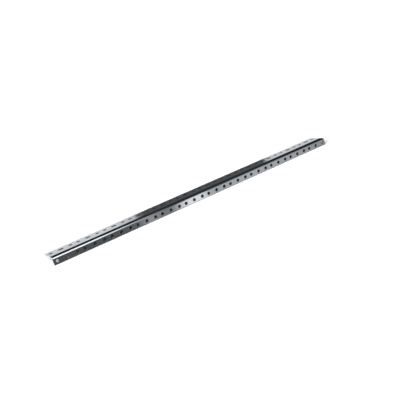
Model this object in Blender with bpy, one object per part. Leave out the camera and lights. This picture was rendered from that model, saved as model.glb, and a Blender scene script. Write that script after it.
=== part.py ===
"""Rack mounting rail, 12 units long: one steel angle with a slotted side leg and a tapped front leg.

The rail is one piece of sheet, punched and bent once. It stands here as it does on a floor,
with the bend up and the free edges of both legs down.

Axes: +X along the rail, +Y from the front leg to the side leg, +Z up. The origin is under the
middle of the rail, on the floor.
"""

import bpy
import bmesh
from math import atan2, cos, pi, radians, sin
from mathutils import Matrix, Vector

MM = 0.001

# Rack pitch: the last hole of one unit and the first of the next lie 12.7 mm apart, and the
# holes of a unit share the rest of its height evenly
UNITS = 12
UNIT_HEIGHT = 44.45 * MM
UNIT_GAP = 12.7 * MM
HOLES_PER_UNIT = 3

# Section of the angle, measured over its outer faces
SHEET_THICKNESS = 2.0 * MM
SIDE_LEG_WIDTH = 38.0 * MM
FRONT_LEG_WIDTH = 12.0 * MM
BEND_INNER_RADIUS = 1.2 * MM
BEND_SEGMENTS = 8

# Tapped holes of the front leg: the drilled core and its countersink on the outer face
TAPPED_ROW_FROM_SIDE_FACE = 7.2 * MM
TAPPED_CORE_DIAMETER = 4.5 * MM
COUNTERSINK_DIAMETER = 5.6 * MM
COUNTERSINK_DEPTH = 0.4 * MM
TAPPED_HOLE_SIDES = 24

# Holes of the side leg: one slot in each unit, between two round holes
SIDE_ROW_FROM_FRONT_FACE = 25.0 * MM
SIDE_HOLE_DIAMETER = 5.6 * MM
SLOT_LENGTH = 8.5 * MM
SIDE_HOLE_SIDES = 24

# How far a cutter stands past the sheet on each side
CUTTER_MARGIN = 1.0 * MM

# Black coat of the rail
COAT_COLOUR = (0.045, 0.052, 0.058, 1.0)
COAT_ROUGHNESS = 0.3

RAIL_LENGTH = UNITS * UNIT_HEIGHT
HOLE_PITCH = (UNIT_HEIGHT - UNIT_GAP) / (HOLES_PER_UNIT - 1)
BEND_OUTER_RADIUS = BEND_INNER_RADIUS + SHEET_THICKNESS


def clear_scene():
    """Remove every object of the scene that the script starts in."""
    for obj in list(bpy.data.objects):
        bpy.data.objects.remove(obj, do_unlink=True)


def rest_tilt():
    """Slope of the side leg when the inner corners of both free edges touch the floor."""
    return atan2(FRONT_LEG_WIDTH - SHEET_THICKNESS, SIDE_LEG_WIDTH - SHEET_THICKNESS)


def hole_positions():
    """Place along the rail of each hole, with its number inside its unit."""
    for unit in range(UNITS):
        for number in range(HOLES_PER_UNIT):
            from_end = unit * UNIT_HEIGHT + UNIT_GAP / 2 + number * HOLE_PITCH
            yield from_end - RAIL_LENGTH / 2, number


def coat_material():
    """Glossy black coat on steel."""
    material = bpy.data.materials.new("black_coat")
    material.use_nodes = True
    shader = material.node_tree.nodes["Principled BSDF"]
    shader.inputs["Base Color"].default_value = COAT_COLOUR
    shader.inputs["Roughness"].default_value = COAT_ROUGHNESS
    shader.inputs["Metallic"].default_value = 0.0
    return material


def new_object(name, mesh_builder):
    """Make a scene object from a bmesh that the builder fills."""
    bm = bmesh.new()
    mesh_builder(bm)
    bmesh.ops.recalc_face_normals(bm, faces=bm.faces)
    mesh = bpy.data.meshes.new(name)
    bm.to_mesh(mesh)
    bm.free()
    obj = bpy.data.objects.new(name, mesh)
    bpy.context.scene.collection.objects.link(obj)
    return obj


def sheet_outer_face(bm):
    """Outer face of the unbent corner: an edge along the rail, extruded to both free edges.

    The corner lies on the X axis, the side leg runs to +Y and the front leg to -Z.
    """
    half = RAIL_LENGTH / 2
    ends = [bm.verts.new((-half, 0, 0)), bm.verts.new((half, 0, 0))]
    corner = bm.edges.new(ends)
    for leg in (Vector((0, SIDE_LEG_WIDTH, 0)), Vector((0, 0, -FRONT_LEG_WIDTH))):
        strip = bmesh.ops.extrude_edge_only(bm, edges=[corner])
        free_edge = [part for part in strip["geom"] if isinstance(part, bmesh.types.BMVert)]
        bmesh.ops.translate(bm, verts=free_edge, vec=leg)


def point_normals_out(obj):
    """Turn the open sheet so that its faces look away from the inside of the angle."""
    bm = bmesh.new()
    bm.from_mesh(obj.data)
    inside = Vector((0, 1, -1))
    for face in bm.faces:
        if face.normal.dot(inside) > 0:
            face.normal_flip()
    bm.to_mesh(obj.data)
    bm.free()


def add_prism(bm, place, sides, rings):
    """Add a closed round plug along local Z through rings of (height, radius).

    A flat side, not a corner, faces each way along the rail and across it.
    """
    half_side = Matrix.Rotation(pi / sides, 4, "Z")
    loops = []
    for height, radius in rings:
        at_height = Matrix.Translation((0, 0, height)) @ half_side
        circle = bmesh.ops.create_circle(bm, segments=sides, radius=radius, matrix=at_height)
        loops.append(circle["verts"])
    for lower, upper in zip(loops, loops[1:]):
        for i in range(sides):
            j = (i + 1) % sides
            bm.faces.new((lower[i], lower[j], upper[j], upper[i]))
    bm.faces.new(reversed(loops[0]))
    bm.faces.new(loops[-1])
    bmesh.ops.transform(bm, matrix=place, verts=[v for loop in loops for v in loop])
    return loops


def tapped_hole_cutters(bm):
    """Plugs for the front leg, with the countersink on the outer face."""
    core = TAPPED_CORE_DIAMETER / 2
    mouth = COUNTERSINK_DIAMETER / 2
    widening = (mouth - core) / COUNTERSINK_DEPTH
    rings = (
        (-SHEET_THICKNESS - CUTTER_MARGIN, core),
        (-COUNTERSINK_DEPTH, core),
        (CUTTER_MARGIN, mouth + widening * CUTTER_MARGIN),
    )
    out_of_front_face = Matrix.Rotation(radians(90), 4, "X")
    for x, _ in hole_positions():
        centre = Matrix.Translation((x, 0, -TAPPED_ROW_FROM_SIDE_FACE))
        add_prism(bm, centre @ out_of_front_face, TAPPED_HOLE_SIDES, rings)


def side_hole_cutters(bm):
    """Plugs for the side leg: the middle one of each unit is stretched to a slot."""
    radius = SIDE_HOLE_DIAMETER / 2
    rings = ((-SHEET_THICKNESS - CUTTER_MARGIN, radius), (CUTTER_MARGIN, radius))
    stretch = (SLOT_LENGTH - SIDE_HOLE_DIAMETER) / 2
    for x, number in hole_positions():
        centre = Matrix.Translation((x, SIDE_ROW_FROM_FRONT_FACE, 0))
        loops = add_prism(bm, centre, SIDE_HOLE_SIDES, rings)
        if number == HOLES_PER_UNIT // 2:
            for vert in (v for loop in loops for v in loop):
                vert.co.x += stretch if vert.co.x > x else -stretch


def make_cutter(name, builder, parent):
    """A hole pattern that only cuts: it follows the rail and is not part of it."""
    cutter = new_object(name, builder)
    cutter.parent = parent
    cutter.hide_render = True
    cutter.display_type = "WIRE"
    return cutter


def make_rail():
    """The rail: an open outer face, bent, thickened and then punched."""
    rail = new_object("rack_rail", sheet_outer_face)
    point_normals_out(rail)
    rail.data.materials.append(coat_material())

    bend = rail.modifiers.new("bend", "BEVEL")
    bend.width = BEND_OUTER_RADIUS
    bend.segments = BEND_SEGMENTS
    bend.limit_method = "ANGLE"
    bend.profile = 0.5

    sheet = rail.modifiers.new("sheet", "SOLIDIFY")
    sheet.thickness = SHEET_THICKNESS
    sheet.offset = -1.0
    sheet.use_even_offset = True

    patterns = (("tapped_hole_cutters", tapped_hole_cutters), ("side_hole_cutters", side_hole_cutters))
    for name, builder in patterns:
        punch = rail.modifiers.new(name, "BOOLEAN")
        punch.operation = "DIFFERENCE"
        punch.solver = "EXACT"
        punch.object = make_cutter(name, builder, rail)
    return rail


def stand_on_floor(rail):
    """Tip the rail onto its two free edges and centre it over the origin."""
    tilt = rest_tilt()
    side_reach = SIDE_LEG_WIDTH * cos(tilt)
    front_reach = FRONT_LEG_WIDTH * sin(tilt)
    corner_height = SIDE_LEG_WIDTH * sin(tilt) + SHEET_THICKNESS * cos(tilt)
    rail.rotation_euler = (-tilt, 0, 0)
    rail.location = (0, (front_reach - side_reach) / 2, corner_height)


clear_scene()
stand_on_floor(make_rail())
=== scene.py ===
# %% [markdown]
# # A rack mounting rail, dressed for the camera
#
# The rail is one length of 2 mm sheet steel. It is punched flat, bent once along its whole
# length into an angle, tapped along the narrow leg and coated in glossy black.
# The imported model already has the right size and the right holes, and it stands as the rail
# rests on a floor. This script rebuilds the same rail with real bend arcs, threads and softened
# edges, gives it its coat, and lights it as a product photographer would.
#
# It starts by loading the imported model, because that fixes every size and place used below.

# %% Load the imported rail
from math import atan2, copysign, cos, hypot, pi, radians, sin, tau

import bmesh
import bpy
from mathutils import Matrix, Quaternion, Vector


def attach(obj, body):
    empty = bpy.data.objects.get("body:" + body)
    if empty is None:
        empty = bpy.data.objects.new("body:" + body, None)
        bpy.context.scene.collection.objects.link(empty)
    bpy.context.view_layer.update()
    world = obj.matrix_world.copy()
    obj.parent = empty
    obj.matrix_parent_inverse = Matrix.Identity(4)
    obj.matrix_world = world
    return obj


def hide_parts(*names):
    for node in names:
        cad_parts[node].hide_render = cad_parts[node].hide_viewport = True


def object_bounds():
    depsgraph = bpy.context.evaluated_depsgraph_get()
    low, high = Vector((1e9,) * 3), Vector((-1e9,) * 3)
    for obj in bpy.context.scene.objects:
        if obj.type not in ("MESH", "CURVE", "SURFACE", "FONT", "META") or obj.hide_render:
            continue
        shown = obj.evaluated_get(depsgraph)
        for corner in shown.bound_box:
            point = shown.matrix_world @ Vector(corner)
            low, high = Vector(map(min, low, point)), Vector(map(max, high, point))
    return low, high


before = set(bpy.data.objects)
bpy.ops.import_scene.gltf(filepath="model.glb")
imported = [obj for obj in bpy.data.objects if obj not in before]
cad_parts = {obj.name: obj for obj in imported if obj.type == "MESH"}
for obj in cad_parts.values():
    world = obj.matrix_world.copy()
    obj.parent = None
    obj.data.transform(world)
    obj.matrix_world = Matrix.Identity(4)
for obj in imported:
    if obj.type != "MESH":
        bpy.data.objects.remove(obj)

cad_low, cad_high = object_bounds()
cad_size = cad_high - cad_low
print("packed rail, mm:", [round(1000 * side, 1) for side in cad_size])

# %% [markdown]
# Blender works in metres, and a rail is drawn in millimetres, so one factor is named once.
# Colours are picked as sRGB hex values, the way a paint chart or a picture editor shows them,
# while a shader wants linear light. One function does that conversion for the whole file.
# A second one adds a shader node with its settings and links, so that a material reads as a
# short list of steps.

# %% Units, colours and nodes
MM = 0.001


def linear(hex_colour):
    """Linear RGBA of an sRGB hex colour such as "1D2428"."""
    channels = []
    for i in (0, 2, 4):
        c = int(hex_colour[i:i + 2], 16) / 255
        channels.append(c / 12.92 if c <= 0.04045 else ((c + 0.055) / 1.055) ** 2.4)
    return (*channels, 1.0)


def add_node(tree, kind, settings=None, inputs=None):
    """Add a node. An input is a plain value, or the output socket that it is linked to."""
    node = tree.nodes.new(kind)
    for name, value in (settings or {}).items():
        setattr(node, name, value)
    for name, value in (inputs or {}).items():
        if isinstance(value, bpy.types.NodeSocket):
            tree.links.new(value, node.inputs[name])
        else:
            node.inputs[name].default_value = value
    return node


print("coat colour in linear light:", [round(c, 3) for c in linear("1D2428")])

# %% [markdown]
# A 19 inch rack counts its height in units of 44.45 mm. Each unit has three holes: 15.875 mm
# from hole to hole inside the unit, and 12.7 mm across the border to the next unit.
# So the whole hole pattern follows from the rail's length and the number of units.
# The section is drawn flat side out: the wide side leg screws to the cabinet, and the narrow
# front leg takes the screws of the equipment.

# %% Sizes of the rail
UNITS = 12
UNIT_HEIGHT = cad_size.x / UNITS
UNIT_GAP = 12.7 * MM
HOLE_PITCH = (UNIT_HEIGHT - UNIT_GAP) / 2

SHEET = 2.0 * MM
SIDE_LEG = 38.0 * MM
FRONT_LEG = 12.0 * MM
BEND_INSIDE = 1.2 * MM
BEND_OUTSIDE = BEND_INSIDE + SHEET

SIDE_ROW = 25.0 * MM
SIDE_HOLE = 5.6 * MM
SLOT_LENGTH = 8.5 * MM
TAPPED_ROW = 7.2 * MM
THREAD_CORE = 4.5 * MM
THREAD_MAJOR = 5.45 * MM
THREAD_PITCH = 25.4 * MM / 24
MOUTH = 5.6 * MM

rail_length = UNITS * UNIT_HEIGHT
columns = []
for unit in range(UNITS):
    for number in (-1, 0, 1):
        columns.append(((unit + 0.5) * UNIT_HEIGHT + number * HOLE_PITCH - rail_length / 2, number))
print("holes in a row:", len(columns), "pitch, mm:", round(HOLE_PITCH / MM, 3))

# %% [markdown]
# Unheld, the rail comes to rest like a flat tent: the inner corners of both free edges touch
# the floor, and the bend is on top. That tilt follows from the two leg widths. The matrix below
# takes the rail from its drawing position, where the side leg is level, to its place on the
# floor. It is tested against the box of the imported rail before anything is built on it.

# %% Where the rail rests
tilt = atan2(FRONT_LEG - SHEET, SIDE_LEG - SHEET)
corner_height = SIDE_LEG * sin(tilt) + SHEET * cos(tilt)
corner_across = (FRONT_LEG * sin(tilt) - SIDE_LEG * cos(tilt)) / 2
to_floor = Matrix.Translation((0, corner_across, corner_height)) @ Matrix.Rotation(-tilt, 4, "X")

far_corner = to_floor @ Vector((rail_length / 2, SIDE_LEG, 0))
print("tilt, degrees:", round(tilt * 180 / pi, 2))
print("side edge against the packed box, mm:", round((far_corner.y - cad_high.y) / MM, 3))

# %% [markdown]
# ## Camera
#
# The picture was taken from the front left and from above, with a lens of about 55 mm. These
# numbers line up both rows of holes with it. In the picture the rail is held rolled a little
# round its own length. Here it lies on the floor by itself, so the camera is rolled by the same
# angle instead, and the rail keeps the outline that the picture shows.

# %% Camera
TARGET = Vector((-0.01152, -0.01798, 0))
AZIMUTH = radians(-30.69)
ELEVATION = radians(27.52)
DISTANCE = 0.98905
ROLL = radians(-8.83)
LENS = 55.2

towards_camera = Vector((
    sin(AZIMUTH) * cos(ELEVATION), -cos(AZIMUTH) * cos(ELEVATION), sin(ELEVATION)
))
camera_data = bpy.data.cameras.new("camera")
camera_data.lens = LENS
camera_data.sensor_width = 36.0
camera = bpy.data.objects.new("camera", camera_data)
bpy.context.scene.collection.objects.link(camera)
camera.location = TARGET + towards_camera * DISTANCE
camera.rotation_mode = "QUATERNION"
aim = (-towards_camera).to_track_quat("-Z", "Y")
camera.rotation_quaternion = aim @ Quaternion((0, 0, 1), ROLL)
bpy.context.scene.camera = camera
bpy.context.scene.view_settings.view_transform = "Standard"
print("camera height, m:", round(camera.location.z, 3))

# %% [markdown]
# ## Light
#
# A glossy black thing has hardly any colour of its own: what the eye reads as its finish is the
# studio that it mirrors. The rail mirrors three directions. The side leg shows what stands
# behind it, the front leg shows what stands in front, and the bend sweeps over everything
# between them, which is why it carries one black and one white line.
#
# The studio is a ring of panels round the rail, drawn in the world shader. Only glossy rays see
# the panels. The camera sees plain white, and everything else is lit by two soft lights. The
# places where a panel begins and ends are given as the place along the rail where its edge is
# mirrored.


# %% Which way the rail mirrors
def mirrored(millimetres):
    """Share of X in the direction that the rail mirrors, at a distance from its left end."""
    along = millimetres * MM - rail_length / 2 - camera.location.x
    off = hypot(camera.location.y - TARGET.y, camera.location.z)
    return along / hypot(along, off)


print("mirrored directions, left and right:", round(mirrored(0), 3), round(mirrored(533), 3))

# %% [markdown]
# Each panel is a row of stops: the place along the rail in millimetres and the brightness
# there, where 1 is the brightness of white paper. Seen head on, a coat mirrors only one part in
# twenty, so the front panel has to be ten times as bright as paper to leave a light patch on
# the front leg. Seen along the surface it mirrors a third, and less is enough behind the side
# leg. The overhead panel starts beyond the rail's left end, at a negative place.
#
# A colour ramp holds the stops. Its colours stop at 1, so each brightness is divided by the
# brightest one first and multiplied by it afterwards.

# %% Panels of the studio
PANELS = {
    "behind": [(0, 2.15), (95, 2.15), (145, 1.55), (148, 0.21), (405, 0.21), (408, 1.7), (533, 1.65)],
    "above_behind": [(0, 0.0), (130, 0.0), (160, 0.06), (390, 0.06), (420, 0.0), (533, 0.0)],
    "in_front": [
        (0, 1.2), (105, 1.35), (138, 1.9), (163, 5.6), (192, 3.2), (206, 3.6), (232, 14.3),
        (260, 14.3), (280, 6.6), (360, 7.5), (480, 5.8), (533, 4.4),
    ],
    "overhead": [
        (-60, 3.0), (-30, 24.0), (70, 22.0), (95, 16.0), (130, 8.5), (165, 3.0), (200, 0.5), (230, 0.0),
    ],
}
BRIGHTEST = 25.0

world = bpy.data.worlds.new("studio")
bpy.context.scene.world = world
world.use_nodes = True
sky = world.node_tree
sky.nodes.clear()

direction = add_node(sky, "ShaderNodeTexCoord").outputs["Generated"]
split = add_node(sky, "ShaderNodeSeparateXYZ", inputs={"Vector": direction})
along = add_node(
    sky, "ShaderNodeMapRange", inputs={"Value": split.outputs["X"], "From Min": -1.0, "From Max": 1.0}
).outputs["Result"]

panel_light = {}
for name, stops in PANELS.items():
    ramp = add_node(sky, "ShaderNodeValToRGB", {"label": name}, {"Fac": along})
    for i, (place, brightness) in enumerate(stops):
        position = (mirrored(place) + 1) / 2
        stop = ramp.color_ramp.elements[0] if i == 0 else ramp.color_ramp.elements.new(position)
        stop.position = position
        stop.color = (*[brightness / BRIGHTEST] * 3, 1.0)
    unused_last_stop = ramp.color_ramp.elements[-1]
    ramp.color_ramp.elements.remove(unused_last_stop)
    scaled = add_node(
        sky, "ShaderNodeMath", {"operation": "MULTIPLY"}, {0: ramp.outputs["Color"], 1: BRIGHTEST}
    )
    panel_light[name] = scaled.outputs["Value"]
print("panels:", ", ".join(panel_light))

# %% [markdown]
# Now the panels are set round the rail. The turn of a direction is its angle across the rail: 0
# is straight overhead, -90 degrees is the horizon in front and 90 the one behind. The front
# panel is brightest low down and falls off slowly upwards. The overhead panel has crisp edges,
# and the one behind ends at the horizon with the dark of the studio over it, so the side leg
# turns black where it starts to bend. Below the front horizon lies the floor, in shade.

# %% The studio round the rail
DARK = 0.01
SHADED_FLOOR = 0.15

turn = add_node(
    sky, "ShaderNodeMath", {"operation": "ARCTAN2"}, {0: split.outputs["Y"], 1: split.outputs["Z"]}
).outputs["Value"]


def fade(start, end, before, after):
    """Light that changes from one value to another between two turns, in degrees."""
    share = add_node(
        sky, "ShaderNodeMapRange", {"interpolation_type": "SMOOTHSTEP"},
        {"Value": turn, "From Min": radians(start), "From Max": radians(end)},
    )
    mixed = add_node(
        sky, "ShaderNodeMix", inputs={"Factor": share.outputs["Result"], "A": before, "B": after}
    )
    return mixed.outputs["Result"]


front = fade(-110, -101, SHADED_FLOOR, fade(-78, -4, panel_light["in_front"], DARK))
crisp = fade(-58, -52, 0.0, fade(6, 12, panel_light["overhead"], 0.0))
lit = add_node(sky, "ShaderNodeMath", {"operation": "ADD"}, {0: front, 1: crisp})
back = fade(89.2, 90.0, panel_light["above_behind"], panel_light["behind"])
studio = fade(20, 60, lit.outputs["Value"], back)
print("panels set round the rail:", len(panel_light))

# %% [markdown]
# What isn't a mirror image gets soft light, from two places. A wide softbox above the camera's
# left shoulder lights the whole scene. A lower, narrower one stands beyond the rail's left end
# and shines along the rail, into its open end. So white paper shows through the first tapped
# hole, a glimmer of it through the next ones, and the rest of the row stays black.
#
# Each light is weaker the less a direction agrees with its own, by a power of the cosine, as a
# real softbox is. It is scaled by the share of white that it gives a level sheet of paper. The
# sum is only a little more than white, so colours render about as they are written.

# %% Two soft lights
SOFTBOX = Vector((-0.45, -0.25, 1.0)).normalized()
SOFTBOX_POWER = 5
SOFTBOX_LEVEL = 0.75
END_LIGHT = Vector((-1.0, -0.15, 0.35)).normalized()
END_LIGHT_POWER = 14
END_LIGHT_LEVEL = 0.4


def soft_light(towards, power, level):
    """Light from round one direction, which falls off with a power of the cosine."""
    agreement = add_node(
        sky, "ShaderNodeVectorMath", {"operation": "DOT_PRODUCT"}, {0: direction, 1: towards}
    )
    facing = add_node(
        sky, "ShaderNodeMath", {"operation": "MAXIMUM"}, {0: agreement.outputs["Value"], 1: 0.0}
    )
    narrow = add_node(
        sky, "ShaderNodeMath", {"operation": "POWER"}, {0: facing.outputs["Value"], 1: power}
    )
    scaled = add_node(
        sky, "ShaderNodeMath", {"operation": "MULTIPLY"},
        {0: narrow.outputs["Value"], 1: level * (power + 2) / 2 / towards.z},
    )
    return scaled.outputs["Value"]


soft = add_node(
    sky, "ShaderNodeMath", {"operation": "ADD"},
    {0: soft_light(SOFTBOX, SOFTBOX_POWER, SOFTBOX_LEVEL),
     1: soft_light(END_LIGHT, END_LIGHT_POWER, END_LIGHT_LEVEL)},
)
print("level of white paper:", round(SOFTBOX_LEVEL + END_LIGHT_LEVEL, 2))

# %% [markdown]
# The Light Path node says what kind of ray asks for the world's light. A camera ray gets plain
# white and a diffuse one the soft lights. A glossy ray gets the panels, unless it has met a
# matt surface before, because the panels would then light the floor under the rail. The panels
# are a little colder than the soft lights, and that is where the rail's blue tinge comes from.

# %% What each kind of ray sees
rays = add_node(sky, "ShaderNodeLightPath")
unmirrored = add_node(
    sky, "ShaderNodeMix",
    inputs={"Factor": rays.outputs["Is Camera Ray"], "A": soft.outputs["Value"], "B": 1.0},
)
unscattered = add_node(
    sky, "ShaderNodeMath", {"operation": "LESS_THAN"}, {0: rays.outputs["Diffuse Depth"], 1: 0.5}
)
mirror = add_node(
    sky, "ShaderNodeMath", {"operation": "MULTIPLY"},
    {0: rays.outputs["Is Glossy Ray"], 1: unscattered.outputs["Value"]},
).outputs["Value"]
strength = add_node(
    sky, "ShaderNodeMix", inputs={"Factor": mirror, "A": unmirrored.outputs["Result"], "B": studio}
)
colour = add_node(sky, "ShaderNodeMix", {"data_type": "RGBA"}, {"Factor": mirror})
colour.inputs["A"].default_value = linear("FFFFFF")
colour.inputs["B"].default_value = linear("F5FAFF")
background = add_node(
    sky, "ShaderNodeBackground",
    inputs={"Color": colour.outputs["Result"], "Strength": strength.outputs["Result"]},
)
add_node(sky, "ShaderNodeOutputWorld", inputs={"Surface": background.outputs["Background"]})
print("nodes in the studio:", len(sky.nodes))

# %% [markdown]
# The floor is a plain white sheet, wide enough to fill the view from every side. It keeps the
# soft shadow that the rail presses into it. It isn't mirrored in the rail, because the studio
# above already holds what the rail shows, below the horizon too.

# %% Floor
FLOOR_REACH = 6.0

floor_build = bmesh.new()
bmesh.ops.create_grid(floor_build, x_segments=1, y_segments=1, size=FLOOR_REACH)
floor_mesh = bpy.data.meshes.new("floor")
floor_build.to_mesh(floor_mesh)
floor_build.free()
floor = bpy.data.objects.new("floor", floor_mesh)
bpy.context.scene.collection.objects.link(floor)
floor.visible_glossy = False

paper = bpy.data.materials.new("matt_white_paper")
paper.use_nodes = True
paper.node_tree.nodes.clear()
paper_rays = add_node(paper.node_tree, "ShaderNodeLightPath")
paper_colour = add_node(
    paper.node_tree, "ShaderNodeMix", {"data_type": "RGBA"},
    {"Factor": paper_rays.outputs["Is Camera Ray"]},
)
paper_colour.inputs["A"].default_value = linear("E6E6E6")
paper_colour.inputs["B"].default_value = linear("FFFFFF")
paper_shader = add_node(
    paper.node_tree, "ShaderNodeBsdfDiffuse", inputs={"Color": paper_colour.outputs["Result"]}
)
add_node(paper.node_tree, "ShaderNodeOutputMaterial", inputs={"Surface": paper_shader.outputs["BSDF"]})
floor_mesh.materials.append(paper)
print("floor, m:", 2 * FLOOR_REACH)

# %% [markdown]
# ## Black coat
#
# The coat is a baked black paint film, laid on by dipping. It wets the steel all over, so it
# follows the threads and the punched edges. What the eye gets is a charcoal ground with a slight
# cold tint, a hard gloss on top, and the fine waviness of a paint that flowed while it baked.
# A dielectric with the index of a resin gives the right gloss, so metallic stays at 0.
#
# Two sizes of waviness are used: the orange peel of the film, 1.6 mm from crest to crest, and
# the far longer waves of rolled sheet. Both have typical heights, two thousandths and two
# hundredths of a millimetre, so the peel shows only from close by.
#
# On a punched wall the film lies over torn steel, so it is rough there. Its colour is also drawn
# darker, and its gloss lower, than such a film would be: that is painted shade, which makes the small
# holes read as black from afar.

# %% Coat
PEEL = 1.6 * MM
PEEL_HEIGHT = 0.002 * MM
ROLL_WAVE = 28.0 * MM
ROLL_WAVE_HEIGHT = 0.02 * MM
SMUDGE = 16.0 * MM
NOISE_REACH = (0.3, 0.7)
RESIN_IOR = 1.57


def coat(name, ground, shade, gloss, specular):
    """Baked black film: two close greys, and a roughness that wanders between two values."""
    material = bpy.data.materials.new(name)
    material.use_nodes = True
    tree = material.node_tree
    tree.nodes.clear()
    place = add_node(tree, "ShaderNodeTexCoord").outputs["Object"]

    smudge = add_node(
        tree, "ShaderNodeTexNoise", inputs={"Vector": place, "Scale": 1 / SMUDGE, "Detail": 3.0}
    )
    tint = add_node(tree, "ShaderNodeMix", {"data_type": "RGBA"}, {"Factor": smudge.outputs["Fac"]})
    tint.inputs["A"].default_value = linear(ground)
    tint.inputs["B"].default_value = linear(shade)
    rough = add_node(
        tree, "ShaderNodeMapRange",
        inputs={"Value": smudge.outputs["Fac"], "From Min": NOISE_REACH[0],
                "From Max": NOISE_REACH[1], "To Min": gloss[0], "To Max": gloss[1]},
    )

    peel = add_node(
        tree, "ShaderNodeTexNoise", inputs={"Vector": place, "Scale": 1 / PEEL, "Detail": 1.0}
    )
    wave = add_node(
        tree, "ShaderNodeTexNoise", inputs={"Vector": place, "Scale": 1 / ROLL_WAVE, "Detail": 1.0}
    )
    wavy = add_node(
        tree, "ShaderNodeBump",
        inputs={"Height": wave.outputs["Fac"], "Strength": 1.0, "Distance": ROLL_WAVE_HEIGHT},
    )
    bumpy = add_node(
        tree, "ShaderNodeBump",
        inputs={"Height": peel.outputs["Fac"], "Strength": 1.0, "Distance": PEEL_HEIGHT,
                "Normal": wavy.outputs["Normal"]},
    )
    shader = add_node(
        tree, "ShaderNodeBsdfPrincipled",
        inputs={"Base Color": tint.outputs["Result"], "Roughness": rough.outputs["Result"],
                "Normal": bumpy.outputs["Normal"], "IOR": RESIN_IOR, "Metallic": 0.0,
                "Specular IOR Level": specular},
    )
    add_node(tree, "ShaderNodeOutputMaterial", inputs={"Surface": shader.outputs["BSDF"]})
    return material


black_coat = coat("baked_black_dip_coat", "1D2428", "192024", (0.02, 0.04), 0.5)
# The punched coat's darker greys and low specular are painted shade for the hole walls and the rounded
# rims.
punched_coat_painted_shade = coat("baked_black_dip_coat_painted_shade_on_punched_edge", "17191B", "121415", (0.45, 0.6), 0.15)
print("finishes:", black_coat.name, punched_coat_painted_shade.name)

# %% [markdown]
# ## Sheared ends
#
# The light edge at the near end of the side leg is read as bare steel, as if the rail were cut
# from longer coated stock. A shear leaves fine lines through the thickness of the sheet.
# The eye gets a grey metal that is brighter than the coat and scatters what it mirrors.
# The lines are about 0.15 mm apart. A noise that is stretched twelve times upwards draws them.

# %% Bare steel
SHEAR_LINE = 0.15 * MM
SHEAR_DEPTH = 0.02 * MM
STRETCH = 12

sheared_steel = bpy.data.materials.new("bare_sheared_steel")
sheared_steel.use_nodes = True
tree = sheared_steel.node_tree
tree.nodes.clear()
place = add_node(tree, "ShaderNodeTexCoord").outputs["Object"]
lines_apart = add_node(
    tree, "ShaderNodeMapping",
    inputs={"Vector": place, "Scale": (1 / SHEAR_LINE, 1 / SHEAR_LINE, 1 / SHEAR_LINE / STRETCH)},
)
lines = add_node(
    tree, "ShaderNodeTexNoise",
    inputs={"Vector": lines_apart.outputs["Vector"], "Scale": 1.0, "Detail": 2.0},
)
grooves = add_node(
    tree, "ShaderNodeBump",
    inputs={"Height": lines.outputs["Fac"], "Strength": 0.4, "Distance": SHEAR_DEPTH},
)
steel = add_node(
    tree, "ShaderNodeBsdfPrincipled",
    inputs={"Base Color": linear("C4C4C2"), "Metallic": 1.0, "Roughness": 0.35,
            "Normal": grooves.outputs["Normal"]},
)
add_node(tree, "ShaderNodeOutputMaterial", inputs={"Surface": steel.outputs["BSDF"]})
print("sheared lines, mm:", round(SHEAR_LINE / MM, 2))

# %% [markdown]
# ## Profile of the bend
#
# A press brake folds the blank over a small radius. The black line that the bend shows is wider
# than so small a bend can mirror, so the side leg is taken to ease in over the last 8 mm, by 3
# degrees. The drop is only 0.2 mm, but a glossy face shows it at once, because what it mirrors
# turns twice as far as the face does. The profile is two arcs with one tangent.

# %% Two arcs of the bend
EASE_RADIUS = 150.0 * MM
EASE_ANGLE = radians(3)

ease_drop = EASE_RADIUS * (1 - cos(EASE_ANGLE))
ease_end = BEND_OUTSIDE * (1 - sin(EASE_ANGLE))
ease_start = ease_end + EASE_RADIUS * sin(EASE_ANGLE)
ease_centre = Vector((0, ease_start, -EASE_RADIUS))
bend_centre = Vector((0, BEND_OUTSIDE, -ease_drop - BEND_OUTSIDE * cos(EASE_ANGLE)))
print("side leg eases in from, mm:", round(ease_start / MM, 2), "drop:", round(ease_drop / MM, 2))

# %% [markdown]
# ## The blank
#
# A press punches all the holes while the sheet is still flat. The mesh is made the same way:
# for each hole, one rectangular field of sheet with the hole in it. The field's border and the
# hole's ring get the same number of points, and bridge_loops fills the space between them with
# four-sided faces. That leaves clean rings round each hole, where a Boolean would leave slivers.

# %% A field of sheet with its hole
RING_POINTS = 32


def field(sheet, left, right, near, far, hole, size, place):
    """Add sheet from left to right and near to far, with a hole of (length, width) in it."""
    bm = bmesh.new()
    corners = bmesh.ops.create_grid(bm, x_segments=1, y_segments=1, size=0.5)["verts"]
    bmesh.ops.delete(bm, geom=list(bm.faces), context="FACES_ONLY")
    bmesh.ops.scale(bm, vec=(right - left, far - near, 1), verts=corners)
    bmesh.ops.translate(bm, vec=((left + right) / 2, (near + far) / 2, 0), verts=corners)
    bmesh.ops.subdivide_edges(bm, edges=bm.edges, cuts=RING_POINTS // 4 - 1)

    length, width = size
    turned = Matrix.Translation((*hole, 0)) @ Matrix.Rotation(pi / RING_POINTS, 4, "Z")
    ring = bmesh.ops.create_circle(bm, segments=RING_POINTS, radius=width / 2, matrix=turned)
    for vert in ring["verts"]:
        vert.co.x += copysign((length - width) / 2, vert.co.x - hole[0])
    bmesh.ops.bridge_loops(bm, edges=bm.edges)

    bm.transform(place)
    piece = bpy.data.meshes.new("field")
    bm.to_mesh(piece)
    bm.free()
    sheet.from_mesh(piece)
    bpy.data.meshes.remove(piece)


def borders():
    """Where one field ends and the next begins: halfway between holes, and at both ends."""
    places = [x for x, _ in columns]
    halfway = [(a + b) / 2 for a, b in zip(places, places[1:])]
    return [-rail_length / 2, *halfway, rail_length / 2]


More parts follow.
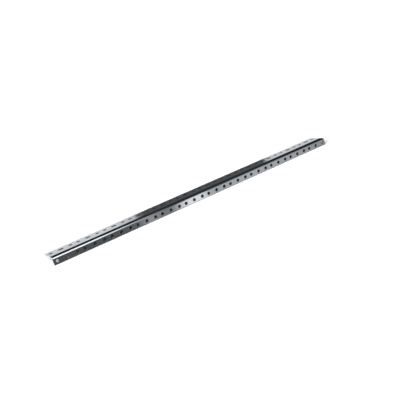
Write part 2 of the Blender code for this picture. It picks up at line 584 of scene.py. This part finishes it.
rail = bmesh.new()
edges_of_fields = borders()
fold_down = Matrix.Rotation(-pi / 2, 4, "X")
for (x, number), left, right in zip(columns, edges_of_fields, edges_of_fields[1:]):
    side_hole = (SLOT_LENGTH, SIDE_HOLE) if number == 0 else (SIDE_HOLE, SIDE_HOLE)
    field(rail, left, right, ease_start, SIDE_LEG, (x, SIDE_ROW), side_hole, Matrix.Identity(4))
    field(rail, left, right, -bend_centre.z, FRONT_LEG, (x, TAPPED_ROW), (MOUTH, MOUTH), fold_down)
print("faces of both legs:", len(rail.faces))

# %% [markdown]
# ## The bend
#
# Spin carries the side leg's inner border along the first arc, and then what it made last along
# the second one, until it arrives on the front leg's border. Merging the doubles then makes one
# sheet of all the fields.

# %% Fold the bend and join the sheet
EASE_STEPS = 4
BEND_STEPS = 8
TOUCH = 0.001 * MM

bend_line = [
    e for e in rail.edges
    if all(abs(v.co.y - ease_start) < TOUCH and abs(v.co.z) < TOUCH for v in e.verts)
]
moving = bend_line + list({v for e in bend_line for v in e.verts})
arcs = ((ease_centre, EASE_ANGLE, EASE_STEPS), (bend_centre, pi / 2 - EASE_ANGLE, BEND_STEPS))
for centre, angle, steps in arcs:
    turned = bmesh.ops.spin(
        rail, geom=moving, cent=centre, axis=(1, 0, 0), angle=angle, steps=steps, dvec=(0, 0, 0)
    )
    moving = turned["geom_last"]
bmesh.ops.remove_doubles(rail, verts=rail.verts, dist=TOUCH)
print("open sheet, faces:", len(rail.faces))

# %% [markdown]
# ## Thickness
#
# The sheet is extruded once, and each copied point moves 2 mm inwards, square to the surface:
# straight down under the side leg, straight back behind the front leg, and towards the bend's
# axis in between. So the inside of the bend gets its smaller radius by itself, and the extrusion
# closes the ends, the free edges and the wall of every hole.


# %% Give the sheet its thickness
def outward(point):
    """Direction square out of the sheet at a point of it."""
    if point.y >= ease_start:
        return Vector((0, 0, 1))
    away = point - (ease_centre if point.y > ease_end else bend_centre)
    return Vector((0, away.y, max(away.z, 0))).normalized()


for face in rail.faces:
    if face.normal.dot(outward(face.calc_center_median())) < 0:
        face.normal_flip()
outer_faces = list(rail.faces)
grown = bmesh.ops.extrude_face_region(rail, geom=outer_faces, use_keep_orig=True)
inner_verts = [part for part in grown["geom"] if isinstance(part, bmesh.types.BMVert)]
for vert in inner_verts:
    vert.co -= outward(vert.co) * SHEET
bmesh.ops.recalc_face_normals(rail, faces=rail.faces)
open_edges = [e for e in rail.edges if not e.is_manifold]
print("closed sheet, faces:", len(rail.faces), "open edges:", len(open_edges))

# %% [markdown]
# This is the best moment to say which finish each face will get, because now the rolled faces,
# the punched walls and the sheared ends are still easy to tell apart. When the threads are cut,
# the new faces inherit the finish of the wall, and the rounded edges get theirs by name.

# %% Finish of each face
ROLLED, PUNCHED, SHEARED = range(3)

for face in rail.faces:
    centre = face.calc_center_median()
    if abs(face.normal.dot(outward(centre))) > 0.5:
        face.material_index = ROLLED
    elif abs(centre.x) > rail_length / 2 - TOUCH:
        face.material_index = SHEARED
    else:
        face.material_index = PUNCHED
print("faces of each finish:", [sum(f.material_index == kind for f in rail.faces) for kind in range(3)])

# %% [markdown]
# ## Softened edges
#
# Punching leaves a slightly rounded edge, and the coat rounds it further. So every free edge,
# both ends and the rims of the side leg's holes get a narrow bevel. It has the duller coat of
# the punched walls, because a film draws thin over an edge and loses its gloss there, and with it
# that coat's painted shade, so the rims round the holes read darker. The tapped holes are left out,
# because they get a countersink instead.


# %% Round the free edges
EDGE_ROUND = 0.25 * MM


def hole_axis(vert):
    """Distance from the nearest tapped hole's axis, and the angle round it."""
    nearest = min((x for x, _ in columns), key=lambda x: abs(x - vert.co.x))
    sideways, upwards = vert.co.x - nearest, vert.co.z + TAPPED_ROW
    return hypot(sideways, upwards), atan2(upwards, sideways)


def in_tapped_hole(vert):
    """True for a point on the wall of a tapped hole."""
    return vert.co.y < SHEET + TOUCH and hole_axis(vert)[0] < MOUTH / 2 + TOUCH


sharp = []
for edge in rail.edges:
    if edge.calc_face_angle(0) > radians(60) and not all(in_tapped_hole(v) for v in edge.verts):
        sharp.append(edge)
# The bevels get the punched coat, painted shade included.
bmesh.ops.bevel(
    rail, geom=sharp, offset=EDGE_ROUND, segments=2, profile=0.5, affect="EDGES",
    material=PUNCHED,
)
print("edges rounded:", len(sharp), "faces:", len(rail.faces))

# %% [markdown]
# ## Threads
#
# Rack screws go straight into the front leg, so its holes are tapped with 24 threads to the
# inch. The wall of each hole is cut into thin rings, and then every point moves out from the
# axis to where the thread is at that height and angle. The thread is a wave that climbs one
# pitch in each turn, with a small flat on its crests and in its roots. At the mouth a
# countersink takes over where it reaches further out. Its outer rim has the glossy coat of the
# sheet, and catches a small crescent of light.

# %% Cut the threads
THREAD_RINGS = 22
THREAD_FLAT = 0.15
GLOSSY_MOUTH = 0.4 * MM


def thread_radius(depth, angle):
    """Radius of the tapped hole at a depth: the thread's, or the countersink's if it is wider."""
    climb = (depth / THREAD_PITCH - angle / tau) % 1.0
    root = min(max((abs(2 * climb - 1) - THREAD_FLAT) / (1 - 2 * THREAD_FLAT), 0), 1)
    thread = (THREAD_CORE + (THREAD_MAJOR - THREAD_CORE) * root) / 2
    countersink = MOUTH / 2 - depth
    return max(thread, countersink)


tapped_walls = [
    e for e in rail.edges
    if all(in_tapped_hole(v) for v in e.verts) and abs(e.verts[0].co.y - e.verts[1].co.y) > SHEET / 2
]
bmesh.ops.subdivide_edges(rail, edges=tapped_walls, cuts=THREAD_RINGS - 1, use_grid_fill=True)
moved = 0
for vert in rail.verts:
    if in_tapped_hole(vert):
        radius, angle = hole_axis(vert)
        wanted = thread_radius(vert.co.y, angle)
        vert.co.x += (wanted - radius) * cos(angle)
        vert.co.z += (wanted - radius) * sin(angle)
        moved += 1
for face in rail.faces:
    if all(in_tapped_hole(v) and v.co.y < GLOSSY_MOUTH for v in face.verts):
        face.material_index = ROLLED
print("tapped holes:", len(tapped_walls) // RING_POINTS, "points moved:", moved)

# %% [markdown]
# ## The finished rail
#
# Now the mesh moves to its place on the floor and gets its three finishes, in the order of the
# numbers above. All faces are smooth, edges sharper than 40 degrees stay crisp, and a Weighted
# Normal modifier keeps the wide flat faces flat right up to the rounded edges.

# %% Materials and mesh
SMOOTH_BELOW = radians(40)

for face in rail.faces:
    face.smooth = True
bmesh.ops.transform(rail, matrix=to_floor, verts=rail.verts)
bmesh.ops.recalc_face_normals(rail, faces=rail.faces)

rail_mesh = bpy.data.meshes.new("mounting_rail")
rail.to_mesh(rail_mesh)
triangles = sum(len(f.verts) - 2 for f in rail.faces)
volume = rail.calc_volume()
rail.free()
rail_mesh.set_sharp_from_angle(angle=SMOOTH_BELOW)
for finish in (black_coat, punched_coat_painted_shade, sheared_steel):
    rail_mesh.materials.append(finish)
mounting_rail = bpy.data.objects.new("mounting_rail", rail_mesh)
bpy.context.scene.collection.objects.link(mounting_rail)
flat_faces = mounting_rail.modifiers.new("flat_faces", "WEIGHTED_NORMAL")
flat_faces.keep_sharp = True

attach(mounting_rail, "root")
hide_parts("rack_rail")
print("triangles:", triangles, "volume, cm3:", round(volume * 1e6, 2))
